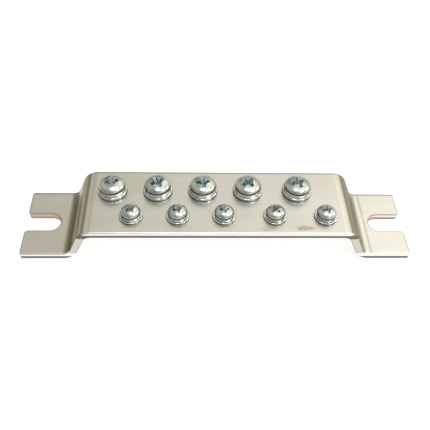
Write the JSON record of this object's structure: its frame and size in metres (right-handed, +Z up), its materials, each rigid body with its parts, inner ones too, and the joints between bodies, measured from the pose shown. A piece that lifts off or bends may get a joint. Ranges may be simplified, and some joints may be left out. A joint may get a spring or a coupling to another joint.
{
  "type": "earth terminal bar",
  "caption": "Earth terminal bar: a plated strip folded into a raised platform on slotted feet, with rows of large and small terminal screws on captive washers.",
  "frame": {"origin": "on the surface that the feet stand on, at the middle of the bar's length and width", "axes": "+X along the bar towards the end where the screws are spaced wider, +Y towards the large screws' row, +Z up from the feet to the screw heads"},
  "size_m": [0.152, 0.032, 0.0212],
  "materials": {
    "plated_strip": "tin-plated copper, satin, with a fine lengthwise rolling grain and bare copper at the slots' cut edges",
    "zinc_screw": "bright bluish zinc plate",
    "zinc_spring_washer": "bright zinc plate, slightly dull on the cut ends",
    "zinc_flat_washer": "bright zinc plate with a faint pressed edge"
  },
  "bodies": {
    "bar": {"earth_bar": "plated_strip"},
    "large_washers_1": {"large_spring_washer_1": "zinc_spring_washer", "large_flat_washer_1": "zinc_flat_washer"},
    "large_screw_1": {"large_screw_1": "zinc_screw"},
    "large_washers_2": {"large_spring_washer_2": "zinc_spring_washer", "large_flat_washer_2": "zinc_flat_washer"},
    "large_screw_2": {"large_screw_2": "zinc_screw"},
    "large_washers_3": {"large_spring_washer_3": "zinc_spring_washer", "large_flat_washer_3": "zinc_flat_washer"},
    "large_screw_3": {"large_screw_3": "zinc_screw"},
    "large_washers_4": {"large_spring_washer_4": "zinc_spring_washer", "large_flat_washer_4": "zinc_flat_washer"},
    "large_screw_4": {"large_screw_4": "zinc_screw"},
    "large_washers_5": {"large_spring_washer_5": "zinc_spring_washer", "large_flat_washer_5": "zinc_flat_washer"},
    "large_screw_5": {"large_screw_5": "zinc_screw"},
    "small_washers_1": {"small_spring_washer_1": "zinc_spring_washer", "small_flat_washer_1": "zinc_flat_washer"},
    "small_screw_1": {"small_screw_1": "zinc_screw"},
    "small_washers_2": {"small_spring_washer_2": "zinc_spring_washer", "small_flat_washer_2": "zinc_flat_washer"},
    "small_screw_2": {"small_screw_2": "zinc_screw"},
    "small_washers_3": {"small_spring_washer_3": "zinc_spring_washer", "small_flat_washer_3": "zinc_flat_washer"},
    "small_screw_3": {"small_screw_3": "zinc_screw"},
    "small_washers_4": {"small_spring_washer_4": "zinc_spring_washer", "small_flat_washer_4": "zinc_flat_washer"},
    "small_screw_4": {"small_screw_4": "zinc_screw"},
    "small_washers_5": {"small_spring_washer_5": "zinc_spring_washer", "small_flat_washer_5": "zinc_flat_washer"},
    "small_screw_5": {"small_screw_5": "zinc_screw"}
  },
  "joints": [
    {"name": "large_lift_1", "type": "slide", "parent": "bar", "child": "large_washers_1", "axis": [0, 0, 1], "range_m": [0, 0.008]},
    {"name": "large_turn_1", "type": "hinge", "parent": "large_washers_1", "child": "large_screw_1", "pos_m": [-0.041, 0.0055, 0.0158], "axis": [0, 0, 1], "range_deg": [0, 2880]},
    {"name": "large_lift_2", "type": "slide", "parent": "bar", "child": "large_washers_2", "axis": [0, 0, 1], "range_m": [0, 0.008]},
    {"name": "large_turn_2", "type": "hinge", "parent": "large_washers_2", "child": "large_screw_2", "pos_m": [-0.0234, 0.0055, 0.0158], "axis": [0, 0, 1], "range_deg": [0, 2880]},
    {"name": "large_lift_3", "type": "slide", "parent": "bar", "child": "large_washers_3", "axis": [0, 0, 1], "range_m": [0, 0.008]},
    {"name": "large_turn_3", "type": "hinge", "parent": "large_washers_3", "child": "large_screw_3", "pos_m": [-0.0058, 0.0055, 0.0158], "axis": [0, 0, 1], "range_deg": [0, 2880]},
    {"name": "large_lift_4", "type": "slide", "parent": "bar", "child": "large_washers_4", "axis": [0, 0, 1], "range_m": [0, 0.008]},
    {"name": "large_turn_4", "type": "hinge", "parent": "large_washers_4", "child": "large_screw_4", "pos_m": [0.0118, 0.0055, 0.0158], "axis": [0, 0, 1], "range_deg": [0, 2880]},
    {"name": "large_lift_5", "type": "slide", "parent": "bar", "child": "large_washers_5", "axis": [0, 0, 1], "range_m": [0, 0.008]},
    {"name": "large_turn_5", "type": "hinge", "parent": "large_washers_5", "child": "large_screw_5", "pos_m": [0.0313, 0.0055, 0.0158], "axis": [0, 0, 1], "range_deg": [0, 2880]},
    {"name": "small_lift_1", "type": "slide", "parent": "bar", "child": "small_washers_1", "axis": [0, 0, 1], "range_m": [0, 0.007]},
    {"name": "small_turn_1", "type": "hinge", "parent": "small_washers_1", "child": "small_screw_1", "pos_m": [-0.0331, -0.0074, 0.0158], "axis": [0, 0, 1], "range_deg": [0, 3600]},
    {"name": "small_lift_2", "type": "slide", "parent": "bar", "child": "small_washers_2", "axis": [0, 0, 1], "range_m": [0, 0.007]},
    {"name": "small_turn_2", "type": "hinge", "parent": "small_washers_2", "child": "small_screw_2", "pos_m": [-0.0155, -0.0074, 0.0158], "axis": [0, 0, 1], "range_deg": [0, 3600]},
    {"name": "small_lift_3", "type": "slide", "parent": "bar", "child": "small_washers_3", "axis": [0, 0, 1], "range_m": [0, 0.007]},
    {"name": "small_turn_3", "type": "hinge", "parent": "small_washers_3", "child": "small_screw_3", "pos_m": [0.0021, -0.0074, 0.0158], "axis": [0, 0, 1], "range_deg": [0, 3600]},
    {"name": "small_lift_4", "type": "slide", "parent": "bar", "child": "small_washers_4", "axis": [0, 0, 1], "range_m": [0, 0.007]},
    {"name": "small_turn_4", "type": "hinge", "parent": "small_washers_4", "child": "small_screw_4", "pos_m": [0.0216, -0.0074, 0.0158], "axis": [0, 0, 1], "range_deg": [0, 3600]},
    {"name": "small_lift_5", "type": "slide", "parent": "bar", "child": "small_washers_5", "axis": [0, 0, 1], "range_m": [0, 0.007]},
    {"name": "small_turn_5", "type": "hinge", "parent": "small_washers_5", "child": "small_screw_5", "pos_m": [0.0411, -0.0074, 0.0158], "axis": [0, 0, 1], "range_deg": [0, 3600]}
  ]
}
